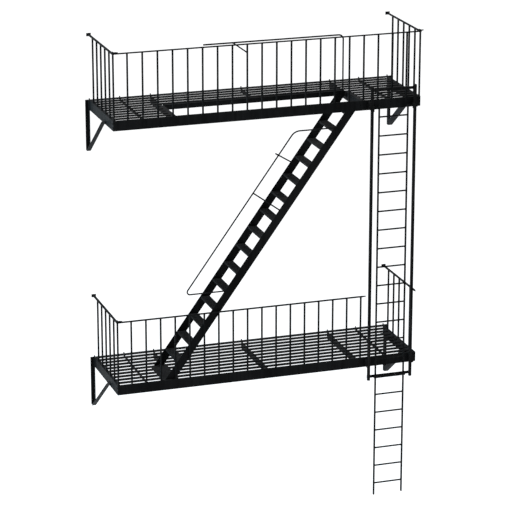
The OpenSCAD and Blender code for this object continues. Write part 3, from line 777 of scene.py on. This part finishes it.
# ---- guide frame ----

def guide_details():
    """Rivets through the crossbars, the keeper and the clips."""
    rivets = Shape()
    post_x = [middle("guide_left_post").x, middle("guide_right_post").x]
    post_front = low("guide_left_post").y
    for bar in ("guide_top_crossbar", "guide_bottom_crossbar"):
        z, back = middle(bar).z, high(bar).y
        for x in post_x:
            rivet(rivets, (x, back, z), Y, POST_RIVET)
            rivet(rivets, (x, post_front, z), -Y, POST_RIVET)
    keeper_low, keeper_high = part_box("ladder_keeper")
    for x in (keeper_low.x + CROSS_T / 2, keeper_high.x - CROSS_T / 2):
        for z in (keeper_low.z + KEEPER_RIVET_IN, keeper_high.z - KEEPER_RIVET_IN):
            rivet(rivets, (x, high("guide_bottom_crossbar").y, z), Y, KEEPER_RIVET)
    for clips in ("upper_guide_clips", "lower_guide_clips"):
        clip_low, clip_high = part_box(clips)
        mid_z = (clip_low.z + clip_high.z) / 2
        reach = (clip_high.z - clip_low.z) / 2 * CLIP_RIVET_REACH
        for x in (clip_low.x + CLIP_W / 2, clip_high.x - CLIP_W / 2):
            for side in (-1, 1):
                rivet(rivets, (x, clip_low.y, mid_z + side * reach), -Y, CLIP_RIVET)
    rivets.make("guide_rivets", BODY, "guide_paint")


# ---- drop ladder ----

def ladder_details():
    """Rungs' welds and riveted ends, the sliding arms' welds and the bolts of the shoes."""
    welds, rivets, bolts = Shape(), Shape(), Shape()
    rungs_low, rungs_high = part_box("ladder_rungs")
    pitch = (rungs_high.z - rungs_low.z - RUNG_D) / (RUNG_COUNT - 1)
    y = (rungs_low.y + rungs_high.y) / 2
    left_face, right_face = low("ladder_left_stile").x, high("ladder_right_stile").x
    for k in range(RUNG_COUNT):
        z = rungs_high.z - RUNG_D / 2 - k * pitch
        for inner_x, outer_x, side in ((rungs_low.x, left_face, -1), (rungs_high.x, right_face, 1)):
            weld_round(welds, (inner_x, y, z), X, RUNG_D, (inner_x, y, z), X, RUNG_WELD)
            rivet(rivets, (outer_x, y, z), side * X, RUNG_END)
    arm_low, arm_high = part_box("ladder_arms")
    half_y, half_z = (arm_high.y - arm_low.y) / 2, (arm_high.z - arm_low.z) / 2
    mid = (arm_low + arm_high) / 2
    for x in (arm_low.x, left_face, right_face, arm_high.x):
        corners = [(x, mid.y - half_y, mid.z - half_z), (x, mid.y + half_y, mid.z - half_z),
                   (x, mid.y + half_y, mid.z + half_z), (x, mid.y - half_y, mid.z + half_z)]
        weld(welds, corners, X, closed=True)
    shoe_mid = middle("ladder_left_shoe")
    for x, side in ((arm_low.x, 1), (arm_high.x, -1)):
        for step in (-SHOE_BOLT_STEP, SHOE_BOLT_STEP):
            hex_bolt(bolts, (x, shoe_mid.y, shoe_mid.z + step), side * X, SHOE_NUT, turn=0.2)
    welds.make("ladder_welds", LADDER, "ladder_paint")
    rivets.make("rung_ends", LADDER, "ladder_paint")
    bolts.make("shoe_bolts", LADDER, "ladder_paint")


# ---- studio ----

AZIMUTH, ELEVATION, DISTANCE, LENS = -18.5, 17.6, 36.0, 180.0
CAMERA_LIFT = 0.18              # leaves room above the upper railing
CLIP_END = 2000
FLOOR_GAP = 0.02                # from the dropped ladder's feet down to the floor
FLOOR_HALF = 900
FLOOR_TONES = ((0.86, 0.86, 0.86, 1), (0.89, 0.89, 0.89, 1))
SKY, SKY_STRENGTH = (0.93, 0.96, 1.0, 1), 0.30
KEY_TOWARDS, KEY_STRENGTH, KEY_ANGLE = (0.40, -0.12, -1.0), 3.3, 30

# area lights: name, place from the object's middle, size, power and colour
AREA_LIGHTS = (("left", (-13, 5, 2), 9, 1700, (0.42, 0.78, 1.0)),
               ("top", (-2, 2, 13), 8, 700, (1, 1, 1)))


def studio_floor(z):
    """Wide pale floor under the dropped ladder."""
    h = FLOOR_HALF
    mesh = bpy.data.meshes.new("studio_floor")
    mesh.from_pydata([(-h, -h, z), (h, -h, z), (h, h, z), (-h, h, z)], [], [[0, 1, 2, 3]])
    floor = bpy.data.objects.new("studio_floor", mesh)
    bpy.context.scene.collection.objects.link(floor)
    material = bpy.data.materials.new("studio_floor")
    g = Graph(material)
    coord = g.node("ShaderNodeTexCoord").outputs["Object"]
    tone = g.mix(g.noise(coord, scale=0.4, detail=2), *FLOOR_TONES)
    shader = g.node("ShaderNodeBsdfPrincipled", Base_Color=tone, Roughness=0.9, Specular_IOR_Level=0.1)
    g.node("ShaderNodeOutputMaterial", Surface=shader.outputs[0])
    mesh.materials.append(material)


def aimed(name, data, at, towards):
    """Links a light or camera that looks along a direction."""
    made = bpy.data.objects.new(name, data)
    made.location = at
    made.rotation_mode = "QUATERNION"
    made.rotation_quaternion = Vector(towards).to_track_quat("-Z", "Y")
    bpy.context.scene.collection.objects.link(made)
    return made


def lights(centre):
    """Broad sun from above, and two area lights that face the object's middle."""
    key = bpy.data.lights.new("key", "SUN")
    key.energy, key.angle = KEY_STRENGTH, math.radians(KEY_ANGLE)
    aimed("key", key, (0, 0, 0), KEY_TOWARDS)
    for name, offset, size, power, colour in AREA_LIGHTS:
        light = bpy.data.lights.new(name, "AREA")
        light.shape, light.size, light.energy, light.color = "DISK", size, power, colour
        at = centre + Vector(offset)
        aimed(name, light, at, centre - at)


def studio():
    """Floor, sky, lights and the camera at the picture's angle."""
    centre = (cad_low + cad_high) / 2
    travel = max(j["range_m"][1] for j in frame["joints"])
    studio_floor(cad_low.z - travel - FLOOR_GAP)
    world = bpy.data.worlds.new("studio")
    world.use_nodes = True
    background = world.node_tree.nodes["Background"]
    background.inputs["Color"].default_value = SKY
    background.inputs["Strength"].default_value = SKY_STRENGTH
    bpy.context.scene.world = world
    bpy.context.scene.view_settings.view_transform = "Standard"
    lights(centre)

    a, e = math.radians(AZIMUTH), math.radians(ELEVATION)
    back = Vector((math.sin(a) * math.cos(e), -math.cos(a) * math.cos(e), math.sin(e)))
    data = bpy.data.cameras.new("camera")
    data.lens, data.clip_end = LENS, CLIP_END
    at = centre + back * DISTANCE + Z * CAMERA_LIFT
    bpy.context.scene.camera = aimed("camera", data, at, -back)


dress_frame()
railing_details("upper", upper_floor, FRONT_BAYS)
railing_details("lower", lower_floor, FRONT_BAYS - LADDER_BAYS)
corner_rivets()
wall_plate_bolts()
slat_rivets("upper", upper_floor, [(1, REAR_SLATS, slat_left, slat_right),
                                   (REAR_SLATS + 1, SLAT_COUNT, slat_left, cut_left),
                                   (REAR_SLATS + 1, SLAT_COUNT, cut_right, slat_right)])
slat_rivets("lower", lower_floor, [(1, SLAT_COUNT, slat_left, slat_right)])
for level, floor_z in (("upper", upper_floor), ("lower", lower_floor)):
    channel_rivets(level, floor_z)
    lug_rivets(level, floor_z)
bracket_details()
guard_details()
stair_details()
cleat_bolts()
handrail_details()
guide_details()
ladder_details()
studio()
